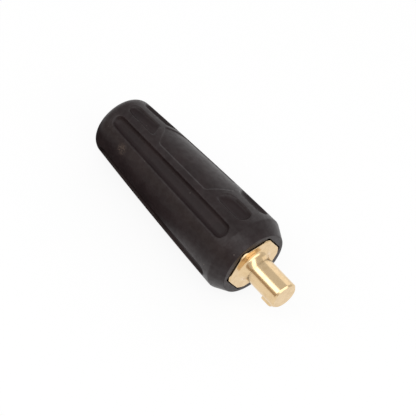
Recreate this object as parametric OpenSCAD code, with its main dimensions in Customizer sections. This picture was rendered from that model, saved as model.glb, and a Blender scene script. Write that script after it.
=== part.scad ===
// Welding cable plug: a brass bayonet plug clamped on a cable's end, in a fluted rubber sleeve.
// Every piece is drawn upright on the plug's own axis, with its pin up and the origin at the pin's
// root. lie_down() then lays it on its side, as it comes to rest, with the pin toward +X.

/* [Pin] */
// Diameter of the pin
pin_d = 13; // [10:0.5:14]
// Length of the pin, from the hexagon's front face to its tip
pin_len = 20; // [16:0.5:28]
// Radius of the fillet at the pin's root
root_r = 2.6; // [0.5:0.1:4]
// Chamfer round the pin's tip
tip_chamfer = 0.7; // [0.2:0.1:1.5]

/* [Bayonet lug] */
// Length of the lug along the pin
lug_len = 5.4; // [3:0.1:8]
// Width of the lug round the pin
lug_w = 4; // [2:0.5:6]
// Height of the lug above the pin
lug_h = 1.4; // [0.8:0.1:3]
// Distance from the pin's tip to the lug
lug_setback = 2.4; // [1:0.1:5]
// Rise of the lug's clamping face across its width
lug_ramp = 0.6; // [0:0.1:1.5]
// Bevel of the lug's two front corners
lug_bevel = 0.8; // [0.2:0.1:0.9]
// Turn of the lug from the first flute, against the count of the flutes
lug_turn = 120; // [0:5:355]

/* [Hexagon] */
// Width of the hexagon across its flats
hex_af = 24.5; // [22:0.5:28]
// Length of the hexagon
hex_len = 9; // [6:0.5:12]
// Depth to which the hexagon's corners are turned down
hex_corner_cut = 0.7; // [0.1:0.05:1]
// Chamfer round the hexagon's front and rear faces
hex_chamfer = 0.5; // [0.2:0.1:1]
// Turn of the hexagon's corner from the middle of the plate, against the count of the flutes
hex_turn = 3; // [0:1:59]

/* [Barrel] */
// Step from the hexagon's flats down to the barrel behind it
barrel_step = 1; // [0.5:0.1:2]
// Length of the barrel
barrel_len = 34; // [28:1:42]
// Diameter of the socket for the bared cable
socket_d = 10.5; // [8:0.5:12]
// Depth of the socket
socket_depth = 30; // [24:1:33]
// Chamfer at the mouth of the socket and round the barrel's end
barrel_chamfer = 0.8; // [0.3:0.1:1.5]

/* [Clamp screws] */
// Thread diameter of a clamp screw
screw_d = 8; // [6:1:10]
// Bevel of a clamp screw's ends
screw_bevel = 0.7; // [0.3:0.1:1]
// Depth of a clamp screw's outer end below the barrel's skin
screw_sink = 1; // [0.8:0.1:2]
// Distance from the barrel's end to the rear screw's axis
screw_setback = 8; // [6:0.5:10]
// Distance between the screws' axes
screw_pitch = 12; // [10:0.5:15]
// Width across the flats of the key socket
key_af = 4; // [3:0.5:5]
// Solid left between the key socket and the screw's point
key_floor = 2.5; // [1:0.1:3]
// Turn of the screws round the barrel, from the first flute
screw_turn = 36; // [0:1:359]

/* [Contact sleeve] */
// Thickness of the sheet copper
foil_t = 0.4; // [0.2:0.1:0.8]
// Distance from the contact sleeve's inner end to the end of the socket's bore
foil_inset = 2.2; // [0.5:0.1:4]
// Width of the slit along it
foil_slit = 1.6; // [0.5:0.1:3]

/* [Rubber sleeve] */
// Length of the rubber sleeve
sleeve_len = 95.8; // [85:0.1:120]
// Distance by which the sleeve's front face stands behind the hexagon's front face
sleeve_setback = 0.6; // [0:0.1:2]
// Diameter of the sleeve at the shoulder
shoulder_d = 39; // [36:0.1:48]
// Diameter that the sleeve's outline reaches at its tail
tail_d = 29.1; // [28:0.1:34]
// How far the outline bows out, halfway from the shoulder to the tail
sleeve_bow = 0.45; // [0:0.1:1.5]
// Rubber left between the mouth's corners and the edge of the front face
nose_wall = 1.4; // [0.8:0.1:3]
// Length of the nose, from the front face to the shoulder
nose_len = 6.7; // [4:0.1:9]
// Radius of the shoulder's edge
shoulder_r = 1.8; // [0.5:0.1:3]
// Radius of the front face's edge
nose_r = 0.5; // [0.2:0.1:0.8]
// Radius of the tail's edge
tail_r = 5.5; // [2:0.5:7]
// Diameter of the cable entry
entry_d = 14.5; // [12:0.5:17]
// Length of the cable entry's lip
entry_len = 10; // [5:1:15]
// Height of the lip above the passage in front of it
lip_h = 1.25; // [0.5:0.05:2]
// Length of the cone from the barrel's bore down to the passage
funnel_len = 8; // [4:1:12]

/* [Flutes] */
// Angle from one flute to the next
flute_pitch = 36; // [30:1:40]
// Flutes in the group on each half of the sleeve
flute_count = 4; // [2:1:4]
// Angle that a flute takes up round the sleeve
flute_span = 23; // [14:1:27]
// Depth of a flute
flute_depth = 1.8; // [1:0.1:2.5]
// Draft of a flute's walls
flute_draft = 36; // [10:1:36]
// Distance from the sleeve's front face to the flutes
flute_front = 9.7; // [9:0.1:14]
// Distance from the sleeve's tail to the flutes
flute_rear = 6.6; // [6:0.1:12]
// How much wider a flute's end curve is than the flute
flute_end_ease = 0.8; // [0.4:0.1:1.5]

/* [Plate] */
// Depth of the plain plate recessed into the sleeve
plate_depth = 0.5; // [0.2:0.1:1]
// Angle that the plate takes up round the sleeve
plate_span = 66; // [50:1:80]
// Distance from the sleeve's front face to the plate's front point
plate_front = 25.8; // [20:0.1:35]
// Distance from the sleeve's tail to the plate's rear point
plate_rear = 23.9; // [15:0.1:35]
// Length of each pointed end
plate_point = 6.9; // [3:0.1:9]
// Width of the solid border between the plate and the flutes it interrupts
plate_border = 2; // [1:0.1:4]

/* [Clearances] */
// Gap round the hexagon in the sleeve's mouth
mouth_gap = 0.45; // [0.1:0.05:0.6]
// Gap between the barrel and the sleeve
barrel_gap = 0.15; // [0.05:0.05:0.5]
// Gap behind the hexagon, where it seats in the sleeve
seat_gap = 0.1; // [0.05:0.05:0.5]
// Gap between the barrel's end and the funnel
funnel_gap = 1; // [0.2:0.1:2]
// Gap round the contact sleeve in the socket
foil_gap = 0.1; // [0.05:0.05:0.2]
// Gap round a clamp screw in its hole
thread_gap = 0.05; // [0.02:0.01:0.1]
// Gap between a clamp screw's point and the contact sleeve
point_gap = 0.05; // [0.02:0.01:0.2]

/* [Hidden] */
$fn = 96;

// A cut's reach past what it cuts, and a length greater than the whole plug's
over = 1;
big = 200;

// Radii
pin_r = pin_d / 2;
hex_corner_r = hex_af / 2 / cos(30) - hex_corner_cut;
barrel_r = hex_af / 2 - barrel_step;
socket_r = socket_d / 2;
foil_r = socket_r - foil_gap;
screw_r = screw_d / 2;
screw_point_r = foil_r + point_gap;
screw_len = barrel_r - screw_sink - screw_point_r;
barrel_bore_r = barrel_r + barrel_gap;
entry_r = entry_d / 2;
passage_r = entry_r + lip_h;
nose_rim_r = (hex_af / 2 + mouth_gap) / cos(30) + nose_wall;

// Heights along the axis
barrel_end = -hex_len - barrel_len;
face_z = -sleeve_setback;
tail_z = face_z - sleeve_len;
shoulder_z = face_z - nose_len;
flute_top = face_z - flute_front;
flute_bottom = tail_z + flute_rear;
plate_top = face_z - plate_front;
plate_bottom = tail_z + plate_rear;
screw_z = [barrel_end + screw_setback + screw_pitch, barrel_end + screw_setback];

// The sleeve's skin between shoulder and tail: its length, mean slope, and the height of its cone's tip
skin_len = shoulder_z - tail_z;
taper = (shoulder_d - tail_d) / 2 / skin_len;
cone_tip = shoulder_z - shoulder_d / 2 / taper;

// Radius and slope of the skin at a height
function skin_r(z) =
    (z - cone_tip) * taper + 4 * sleeve_bow * (shoulder_z - z) * (z - tail_z) / pow(skin_len, 2);
function skin_slope(z) = taper + 4 * sleeve_bow * (shoulder_z + tail_z - 2 * z) / pow(skin_len, 2);

// Turn of the plate's middle and of a plain land's middle from the first flute
plate_turn = flute_pitch * (flute_count - 1) / 2;
land_turn = 90 - plate_turn;

// The plug lies down astride a flute. In front it rests on the round collar where that flute ends, and
// behind on the edges of the two ribs beside the flute, which bow out, or else on the round tail.
rib_drop = cos(flute_span / 2);
rib_reach = skin_len * sqrt(skin_r(flute_top) * (1 / rib_drop - 1) / 4 / sleeve_bow);
rib_z = max(flute_bottom, flute_top - rib_reach);
rib_lean = atan((skin_r(flute_top) - rib_drop * skin_r(rib_z)) / (flute_top - rib_z));
tail_lean = atan((skin_r(flute_top) - skin_r(flute_bottom)) / (flute_top - flute_bottom));
lean = min(rib_lean, tail_lean);
rest_turn = flute_pitch - 180;

// Points on an arc about a centre, from one angle to another
function arc(centre, r, from, to, steps = 10) =
    [for (i = [0:steps]) let (a = from + (to - from) * i / steps) centre + r * [cos(a), sin(a)]];

// Points along the bowed skin between two heights, a given depth below it
function bow(from, to, depth, steps = 6) =
    [for (i = [0:steps]) let (z = from + (to - from) * i / steps) [skin_r(z) - depth, z]];

// Lays an upright piece on its side, as the plug comes to rest, with the pin toward +X
module lie_down() {
    rotate([0, 90 - lean, 0])
        rotate([0, 0, rest_turn])
            children();
}

// Turns a round shape about the axis, with its seam in the middle of a plain land
module turned() {
    rotate([0, 0, land_turn])
        rotate_extrude()
            children();
}

// Solid inside of the sleeve's skin, a given depth below it
module core(depth) {
    turned()
        polygon(concat(
            [[0, tail_z]],
            bow(tail_z, shoulder_z, depth),
            [[0, shoulder_z]]));
}

// Outside of the sleeve: tail, bowed taper, shoulder, nose and front face, turned about the axis
module skin() {
    rear_lean = atan(skin_slope(tail_z));
    tail_cut = tail_r * tan((90 - rear_lean) / 2);
    tail_centre = [skin_r(tail_z) - tail_cut, tail_z + tail_r];
    front_lean = atan(skin_slope(shoulder_z));
    nose_lean = atan((skin_r(shoulder_z) - nose_rim_r) / nose_len);
    shoulder_cut = shoulder_r * tan((nose_lean + front_lean) / 2);
    shoulder_centre = [
        skin_r(shoulder_z) - shoulder_cut * sin(front_lean) - shoulder_r * cos(front_lean),
        shoulder_z - shoulder_cut * cos(front_lean) + shoulder_r * sin(front_lean)];
    nose_cut = nose_r * tan((90 - nose_lean) / 2);
    nose_centre = [nose_rim_r - nose_cut, face_z - nose_r];
    turned()
        polygon(concat(
            [[0, tail_z]],
            arc(tail_centre, tail_r, -90, -rear_lean),
            bow(tail_z + tail_r, shoulder_z - 2 * shoulder_cut, 0),
            arc(shoulder_centre, shoulder_r, -front_lean, nose_lean, 6),
            arc(nose_centre, nose_r, nose_lean, 90, 4),
            [[0, face_z]]));
}

// Everything on the inner side of one drafted flute wall, which runs to the cone's tip
module inside_wall() {
    tilt = atan(taper * sin(flute_span / 2 - flute_draft));
    translate([0, 0, cone_tip])
        rotate([0, 0, flute_draft])
            rotate([-tilt, 0, 0])
                translate([-big, -big, 0])
                    cube([2 * big, big, 2 * (shoulder_z - cone_tip)]);
}

// Radius of the curve that ends a flute at a height
function flute_end_r(z) = skin_r(z) * sin(flute_span / 2) + flute_end_ease;

// Cone that rounds one end of a flute, its seam inward; inward is 1 or -1 toward the flute's middle
module flute_end(end_z, inward) {
    end_r = flute_end_r(end_z);
    reach = flute_depth + over;
    flare = reach * tan(flute_draft);
    translate([skin_r(end_z) - reach, 0, end_z + inward * end_r])
        rotate([0, 90, 0])
            rotate([0, 0, 90 + 90 * inward])
                cylinder(h = 2 * reach, r1 = end_r - flare, r2 = end_r + flare);
}

// One flute along +X, from end to end of the sleeve's taper, with its floor still to be set
module flute() {
    from = flute_bottom + flute_end_r(flute_bottom);
    to = flute_top - flute_end_r(flute_top);
    intersection() {
        inside_wall();
        mirror([0, 1, 0]) inside_wall();
        union() {
            flute_end(flute_top, -1);
            flute_end(flute_bottom, 1);
            translate([0, -big / 2, from])
                cube([skin_r(flute_top) + over, big, to - from]);
        }
    }
}

// Everything on the plate's side of one slanted edge; way is 1 at its front end, -1 at its rear end
module slanted_wall(way, border, draft) {
    corner_z = way > 0 ? plate_top - plate_point : plate_bottom + plate_point;
    slant = atan(plate_point / (skin_r(corner_z) * sin(plate_span / 2)));
    point_z = corner_z + way * (plate_point + border / cos(slant));
    translate([skin_r(point_z), 0, point_z])
        rotate([-way * slant, 0, 0])
            rotate([0, way * draft, 0])
                translate([-big, -big, -big * (way + 1) / 2])
                    cube([2 * big, 2 * big, big]);
}

// The plate's pointed outline along +X, its ends moved out by a border and their walls drafted
module plate_block(border, draft) {
    half_w = big * tan(plate_span / 2);
    intersection() {
        translate([0, 0, tail_z])
            linear_extrude(height = sleeve_len)
                polygon([[0, 0], [big, -half_w], [big, half_w]]);
        slanted_wall(1, border, draft);
        mirror([0, 1, 0]) slanted_wall(1, border, draft);
        slanted_wall(-1, border, draft);
        mirror([0, 1, 0]) slanted_wall(-1, border, draft);
    }
}

// Both groups of flutes; those that would cross the plate stop at the solid border round it
module flutes() {
    difference() {
        for (half = [0, 180], i = [0:flute_count - 1])
            rotate([0, 0, half - i * flute_pitch])
                flute();
        core(flute_depth);
        rotate([0, 0, -plate_turn])
            plate_block(plate_border, flute_draft);
    }
}

// The plate's shallow recess
module plate() {
    difference() {
        rotate([0, 0, -plate_turn])
            plate_block(0, 0);
        core(plate_depth);
    }
}

// Hexagon prism about the axis, with its corners where the plug body has them
module hexagon(af, z, h) {
    translate([0, 0, z])
        rotate([0, 0, -plate_turn - hex_turn])
            cylinder(h = h, d = af / cos(30), $fn = 6);
}

// Inside of the sleeve: mouth for the hexagon, bore for the barrel, funnel, passage and lip
module sleeve_bore() {
    lip_z = tail_z + entry_len;
    seat_z = -hex_len - seat_gap;
    bore_z = barrel_end - funnel_gap;
    hexagon(hex_af + 2 * mouth_gap, seat_z, big);
    turned()
        polygon([
            [0, tail_z - over],
            [entry_r, tail_z - over],
            [entry_r, lip_z],
            [passage_r, lip_z + lip_h],
            [passage_r, bore_z - funnel_len],
            [barrel_bore_r, bore_z],
            [barrel_bore_r, seat_z + over],
            [0, seat_z + over]]);
}

// Rubber sleeve, one moulding
module sleeve() {
    color([0.13, 0.12, 0.13])
        lie_down()
            difference() {
                skin();
                flutes();
                plate();
                sleeve_bore();
            }
}

// Pin with its root fillet and chamfered tip, turned about the axis
module pin() {
    rotate_extrude()
        polygon(concat(
            [[0, -over], [pin_r + root_r, -over]],
            arc([pin_r + root_r, root_r], root_r, 270, 180, 8),
            [
                [pin_r, pin_len - tip_chamfer],
                [pin_r - tip_chamfer, pin_len],
                [0, pin_len]]));
}

// Bayonet lug on the pin's side, with a ramped clamping face and bevelled front corners
module lug() {
    top = pin_len - lug_setback;
    bottom = top - lug_len;
    rotate([0, 0, lug_turn])
        intersection() {
            translate([0, 0, bottom - over])
                cylinder(h = lug_len + 2 * over, r = pin_r + lug_h);
            rotate([90, 0, 90])
                linear_extrude(height = big)
                    polygon([
                        [-lug_w / 2, bottom],
                        [lug_w / 2, bottom + lug_ramp],
                        [lug_w / 2, top - lug_bevel],
                        [lug_w / 2 - lug_bevel, top],
                        [lug_bevel - lug_w / 2, top],
                        [-lug_w / 2, top - lug_bevel]]);
        }
}

// Turned blank behind the pin: hexagon with its corners turned down, and the barrel
module blank() {
    intersection() {
        hexagon(hex_af, -hex_len, hex_len);
        rotate_extrude()
            polygon([
                [0, -hex_len],
                [hex_corner_r - hex_chamfer, -hex_len],
                [hex_corner_r, hex_chamfer - hex_len],
                [hex_corner_r, -hex_chamfer],
                [hex_corner_r - hex_chamfer, 0],
                [0, 0]]);
    }
    rotate_extrude()
        polygon([
            [0, barrel_end],
            [barrel_r - barrel_chamfer, barrel_end],
            [barrel_r, barrel_end + barrel_chamfer],
            [barrel_r, over - hex_len],
            [0, over - hex_len]]);
}

// Socket for the bared cable, with a drilled point and a chamfered mouth
module cable_socket() {
    floor_z = barrel_end + socket_depth;
    rotate_extrude()
        polygon([
            [0, barrel_end - over],
            [socket_r + barrel_chamfer + over, barrel_end - over],
            [socket_r, barrel_end + barrel_chamfer],
            [socket_r, floor_z],
            [0, floor_z + socket_r * tan(30)]]);
}

// Axis of one clamp screw, laid out along +Z from the plug's axis
module at_screw(z) {
    translate([0, 0, z])
        rotate([0, 0, screw_turn])
            rotate([0, 90, 0])
                children();
}

// Brass plug body, one turning: pin, lug, hexagon and barrel
module plug_body() {
    color([0.88, 0.76, 0.58])
        lie_down()
            difference() {
                union() {
                    pin();
                    lug();
                    blank();
                }
                cable_socket();
                for (z = screw_z)
                    at_screw(z)
                        cylinder(h = barrel_r + over, r = screw_r + thread_gap);
            }
}

// Clamp screw without a head, with a key socket, its point on the contact sleeve
module clamp_screw(z) {
    color([0.55, 0.55, 0.57])
        lie_down()
            at_screw(z)
                translate([0, 0, screw_point_r])
                    difference() {
                        rotate_extrude()
                            polygon([
                                [0, 0],
                                [screw_r - screw_bevel, 0],
                                [screw_r, screw_bevel],
                                [screw_r, screw_len - screw_bevel],
                                [screw_r - screw_bevel, screw_len],
                                [0, screw_len]]);
                        translate([0, 0, key_floor])
                            cylinder(h = screw_len, d = key_af / cos(30), $fn = 6);
                    }
}

module clamp_screw_front() clamp_screw(screw_z[0]);

module clamp_screw_rear() clamp_screw(screw_z[1]);

// Contact sleeve: sheet copper rolled to a slit tube that lines the socket
module contact_sleeve() {
    foil_z = barrel_end + barrel_chamfer;
    foil_len = socket_depth - barrel_chamfer - foil_inset;
    color([0.8, 0.5, 0.35])
        lie_down()
            translate([0, 0, foil_z])
                difference() {
                    cylinder(h = foil_len, r = foil_r);
                    translate([0, 0, -over])
                        cylinder(h = foil_len + 2 * over, r = foil_r - foil_t);
                    rotate([0, 0, screw_turn + 180])
                        translate([0, -foil_slit / 2, -over])
                            cube([2 * foil_r, foil_slit, foil_len + 2 * over]);
                }
}

sleeve();
plug_body();
clamp_screw_front();
clamp_screw_rear();
contact_sleeve();
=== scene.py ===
"""Welding cable plug: how it looks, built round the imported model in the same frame.

Sizes are in millimetres and angles in degrees, until a piece is laid in the row's frame, in metres.
"""
import logging
import math
from dataclasses import dataclass, field
from enum import Enum
from functools import partial
from typing import Callable, Sequence, Union

import bmesh
import bpy
import numpy as np
from mathutils import Matrix, Vector


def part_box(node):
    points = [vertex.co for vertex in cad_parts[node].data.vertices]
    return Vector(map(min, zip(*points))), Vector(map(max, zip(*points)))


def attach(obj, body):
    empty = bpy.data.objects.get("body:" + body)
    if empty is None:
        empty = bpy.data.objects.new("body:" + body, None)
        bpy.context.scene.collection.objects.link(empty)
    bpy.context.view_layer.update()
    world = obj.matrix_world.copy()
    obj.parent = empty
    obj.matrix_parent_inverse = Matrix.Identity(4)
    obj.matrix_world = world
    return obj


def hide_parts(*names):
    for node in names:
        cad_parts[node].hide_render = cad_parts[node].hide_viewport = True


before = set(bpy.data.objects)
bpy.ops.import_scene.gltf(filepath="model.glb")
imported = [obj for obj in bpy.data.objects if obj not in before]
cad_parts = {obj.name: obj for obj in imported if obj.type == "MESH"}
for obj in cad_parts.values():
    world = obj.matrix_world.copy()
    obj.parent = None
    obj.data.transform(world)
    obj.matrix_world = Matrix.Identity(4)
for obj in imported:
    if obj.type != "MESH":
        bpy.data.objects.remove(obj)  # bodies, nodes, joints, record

LOG = logging.getLogger("cable_plug")
MM = 0.001
MM_PER_METRE = 1000.0
WHITE = (1.0, 1.0, 1.0)

# Vertices closer than this are one, and edges sharper than this are shaded sharp.
MERGE_DISTANCE = 1e-5
SHARP_ANGLE = 38.0

# Points, edges and faces are put in order along this, an odd direction, so that few are level.
ORDER_AXIS = Vector((1.0, 0.731, 0.3719))

# Steps in the round of a profile's corner, and how far beside it a point keeps the flat flat.
ROUND_STEPS = 4
SUPPORT = 0.12

# Distances from two faces along the round between them, as shares of its radius.
QUARTER_ROUND = ((1.0, 0.0), (0.62, 0.08), (0.29, 0.29), (0.08, 0.62), (0.0, 1.0))

# Distances of the rings from the lines along which the flutes and the plate end, outward positive.
FLUTE_END_STEPS = (1.4, 0.8, 0.5, 0.3, 0.15, 0.0, -0.15, -0.3, -0.45, -0.6, -0.8, -1.0, -1.25, -1.55,
                   -1.9, -2.3, -2.8, -3.5)
PLATE_END_STEPS = (6.6, 5.8, 5.2, 4.7, 4.35, 4.1, 3.9, 3.7, 3.5, 3.3, 3.1, 2.9, 2.7, 2.5, 2.35, 2.2,
                   2.05, 1.9, 1.7, 1.4, 1.05, 0.8, 0.64, 0.52, 0.4, 0.28, 0.16, 0.04, -0.08, -0.2,
                   -0.32, -0.44, -0.57, -0.72, -0.9, -1.1, -1.4, -1.8)

# Angles of the columns from a flute's side, inward positive, and from its middle.
FLUTE_WALL_STEPS = (-2.0, -1.2, -0.7, -0.35, -0.1, 0.15, 0.45, 0.8, 1.15, 1.5, 1.85, 2.25, 2.7, 3.2,
                    3.8, 4.6, 5.6)
FLUTE_FLOOR_STEPS = (-4.2, -2.8, -1.4, 0.0, 1.4, 2.8, 4.2)

# First angle, last angle and step of the columns from the plate's sides, outward positive.
PLATE_COLUMNS = ((-5.4, -2.2, 0.4), (-2.0, 1.8, 0.17))

Ring = Callable[[np.ndarray], tuple[np.ndarray, np.ndarray]]
Guide = Callable[[np.ndarray], np.ndarray]
Point = tuple[float, float]
Span = tuple[float, float]
Colour = tuple[float, float, float]
Number = Union[float, np.ndarray, "Value"]


class Body(Enum):
    """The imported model's bodies."""

    ROOT = "root"


class Slot(Enum):
    """The record's material slots."""

    RUBBER = "rubber"
    BRASS = "brass"
    STEEL = "steel"
    COPPER = "copper"


class End(Enum):
    """The two ends of a cut along the sleeve, with the way that each faces along the axis."""

    FRONT = 1
    REAR = -1


def between(angle: np.ndarray, middle: float) -> np.ndarray:
    """Turns angles into angles from a middle.

    Args:
        angle: Angles in degrees.
        middle: The angle to count from, in degrees.

    Returns:
        The angles from the middle, from -180 to 180 degrees.
    """
    return (angle - middle + 180.0) % 360.0 - 180.0


def corner(first: np.ndarray, second: np.ndarray, size: float) -> np.ndarray:
    """Joins two signed distances at a rounded corner, inside where both are negative.

    Args:
        first: Distances to one face.
        second: Distances to the other face.
        size: Radius of the corner.

    Returns:
        Distances to both faces and the round between them.
    """
    outside = np.hypot(np.maximum(first + size, 0.0), np.maximum(second + size, 0.0))
    return np.minimum(-size, np.maximum(first, second)) + outside


def corner_radius(apothem: float) -> float:
    """Radius of a hexagon's corners, from half its width across the flats."""
    return apothem / math.cos(math.radians(30.0))


def hexagon_radius(angle: np.ndarray, apothem: float, turn: float, limit: float) -> np.ndarray:
    """Radius of a hexagon whose corners are cut by a circle.

    Args:
        angle: Angles in degrees.
        apothem: Half the width across the flats.
        turn: Angle of one corner, in degrees.
        limit: Radius of the circle.

    Returns:
        The radius at each angle.
    """
    off = np.abs((angle - turn + 30.0) % 60.0 - 30.0)
    side = apothem / np.cos(np.radians(30.0 - off))
    return np.minimum(side, limit)


def rounded(corners: Sequence[tuple[float, float, float]]) -> list[Point]:
    """Rounds the corners of a profile.

    Args:
        corners: Radius, height and rounding of each corner.

    Returns:
        Radius and height of each point.
    """
    points: list[Point] = []
    for index, (radius, height, size) in enumerate(corners):
        here = Vector((radius, height))
        if size == 0.0:
            points.append((radius, height))
            continue
        before = (Vector(corners[index - 1][:2]) - here).normalized()
        after = (Vector(corners[(index + 1) % len(corners)][:2]) - here).normalized()
        half = before.angle(after) / 2.0
        centre = here + (before + after).normalized() * size / math.sin(half)
        start = here + before * size / math.tan(half)
        end = here + after * size / math.tan(half)
        points.append(tuple(start + before * SUPPORT))
        for step in range(ROUND_STEPS + 1):
            arm = (start - centre).normalized().slerp((end - centre).normalized(), step / ROUND_STEPS)
            points.append(tuple(centre + arm * size))
        points.append(tuple(end + after * SUPPORT))
    return points


def arc(centre: Point, size: float, start: float, end: float, steps: int) -> list[Point]:
    """Points on an arc.

    Args:
        centre: Radius and height of its centre.
        size: Radius of the arc.
        start: First angle in degrees.
        end: Last angle in degrees.
        steps: Steps in the arc.

    Returns:
        Radius and height of each point.
    """
    turns = np.radians(np.linspace(start, end, steps + 1))
    return [(centre[0] + size * math.cos(turn), centre[1] + size * math.sin(turn)) for turn in turns]


def round_ring(radius: float, height: float) -> Ring:
    """A ring that is a circle."""
    return lambda angle: (np.full_like(angle, radius), np.full_like(angle, height))


def round_rings(points: Sequence[Point]) -> list[Ring]:
    """Rings that are circles, from the radius and height of each."""
    return [round_ring(*point) for point in points]


def hexagon_ring(apothem: float, height: float, turn: float, limit: float, blend: float = 1.0,
                 radius: float = 0.0) -> Ring:
    """A ring that is a hexagon with its corners cut by a circle, or part way from a circle to it.

    Args:
        apothem: Half the hexagon's width across its flats.
        height: Height of the ring.
        turn: Angle of one corner, in degrees.
        limit: Radius of the circle that cuts the corners.
        blend: Share of the hexagon in the ring.
        radius: Radius of the circle that makes up the rest.

    Returns:
        The ring.
    """

    def ring(angle: np.ndarray) -> tuple[np.ndarray, np.ndarray]:
        """Radius and height at each angle."""
        shape = hexagon_radius(angle, apothem, turn, limit)
        return blend * shape + (1.0 - blend) * radius, np.full_like(angle, height)

    return ring


def thin(angles: Sequence[float], fixed: Sequence[float], least: float) -> np.ndarray:
    """Sorts angles and leaves out those that are too close to another.

    Args:
        angles: Angles in degrees that may be left out.
        fixed: Angles in degrees that stay.
        least: The least distance, in degrees.

    Returns:
        The angles that are left, from 0 to 360 degrees.
    """
    kept = sorted({round(angle % 360.0, 6) for angle in fixed})
    for angle in sorted(angle % 360.0 for angle in angles):
        if all(abs(between(np.array(angle), other)) >= least for other in kept):
            kept.append(angle)
    return np.array(sorted(kept))


def put_in_order(shape: bmesh.types.BMesh) -> None:
    """Puts a mesh's parts in the same order in each run, because the operators don't."""

    def along(part: Union[bmesh.types.BMEdge, bmesh.types.BMFace]) -> float:
        """Sum of the places of an edge's or a face's points along the direction of order."""
        return math.fsum(vert.co.dot(ORDER_AXIS) for vert in part.verts)

    shape.verts.sort(key=lambda vert: vert.co.dot(ORDER_AXIS))
    shape.edges.sort(key=along)
    shape.faces.sort(key=along)


def as_mesh(name: str, shape: bmesh.types.BMesh) -> bpy.types.Mesh:
    """Turns a bmesh into a mesh, and frees it."""
    mesh = bpy.data.meshes.new(name)
    shape.to_mesh(mesh)
    shape.free()
    return mesh


def in_scene(name: str, data: bpy.types.ID) -> bpy.types.Object:
    """Makes an object of a mesh, lamp or camera, and puts it in the scene."""
    item = bpy.data.objects.new(name, data)
    bpy.context.scene.collection.objects.link(item)
    return item


@dataclass(frozen=True)
class Lie:
    """How the upright plug is laid on its side."""

    lean: float
    turn: float

    def matrix(self) -> Matrix:
        """Returns the move from the upright plug in millimetres to the row's frame in metres."""
        tip_over = Matrix.Rotation(math.pi / 2.0 - math.radians(self.lean), 4, "Y")
        return tip_over @ Matrix.Rotation(math.radians(self.turn), 4, "Z") @ Matrix.Scale(MM, 4)


@dataclass(frozen=True)
class Fit:
    """Sizes at which the sleeve and the plug body meet."""

    hex_af: float = 24.5
    hex_len: float = 9.0
    hex_corner_cut: float = 0.7
    barrel_step: float = 1.0
    barrel_len: float = 34.0
    barrel_gap: float = 0.15
    mouth_gap: float = 0.45
    seat_gap: float = 0.1
    funnel_gap: float = 1.0
    screw_d: float = 8.0
    screw_sink: float = 1.0
    screw_setback: float = 8.0
    screw_pitch: float = 12.0
    screw_turn: float = 36.0
    socket_d: float = 10.5
    socket_depth: float = 30.0
    barrel_chamfer: float = 0.8
    foil_gap: float = 0.1
    point_gap: float = 0.05
    thread_gap: float = 0.05
    hex_turn: float = -57.0

    @property
    def hex_corner_r(self) -> float:
        """Radius to which the hexagon's corners are turned down."""
        return corner_radius(self.hex_af / 2.0) - self.hex_corner_cut

    @property
    def hex_corners(self) -> list[float]:
        """Angles of the hexagon's corners, in degrees."""
        return [self.hex_turn + 60.0 * index for index in range(6)]

    @property
    def seat(self) -> float:
        """Height of the sleeve's seat behind the hexagon."""
        return -self.hex_len - self.seat_gap

    @property
    def barrel_end(self) -> float:
        """Height of the barrel's end."""
        return -self.hex_len - self.barrel_len

    @property
    def barrel_r(self) -> float:
        """Radius of the barrel."""
        return self.hex_af / 2.0 - self.barrel_step

    @property
    def foil_r(self) -> float:
        """Outer radius of the contact sleeve."""
        return self.socket_d / 2.0 - self.foil_gap

    @property
    def screw_heights(self) -> tuple[float, float]:
        """Heights of the front and the rear screw."""
        rear = self.barrel_end + self.screw_setback
        return rear + self.screw_pitch, rear


class Piece:
    """A piece of the plug, made as a mesh in the row's frame."""

    name: str
    node: str
    slot: Slot

    def shape(self) -> bmesh.types.BMesh:
        """Returns the piece's mesh, upright and in millimetres."""
        raise NotImplementedError

    def place(self, lie: Lie) -> Matrix:
        """Returns the move from the piece's own frame to the row's frame."""
        return lie.matrix()

    def finish(self, piece: bpy.types.Object, lie: Lie) -> None:
        """Adds what is left to do once the piece is an object."""

    def make(self, lie: Lie, material: bpy.types.Material) -> None:
        """Builds, places and dresses the piece.

        Args:
            lie: How the plug lies.
            material: The piece's material.
        """
        shape = self.shape()
        bmesh.ops.remove_doubles(shape, verts=shape.verts, dist=MERGE_DISTANCE)
        bmesh.ops.transform(shape, matrix=self.place(lie), verts=shape.verts)
        bmesh.ops.recalc_face_normals(shape, faces=shape.faces)
        put_in_order(shape)
        mesh = as_mesh(self.name, shape)
        mesh.materials.append(material)
        mesh.polygons.foreach_set("use_smooth", [True] * len(mesh.polygons))
        mesh.set_sharp_from_angle(angle=math.radians(SHARP_ANGLE))
        piece = in_scene(self.name, mesh)
        self.finish(piece, lie)
        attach(piece, Body.ROOT.value)
        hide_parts(self.node)
        LOG.info("%s: %d faces", self.name, len(piece.data.polygons))


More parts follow.
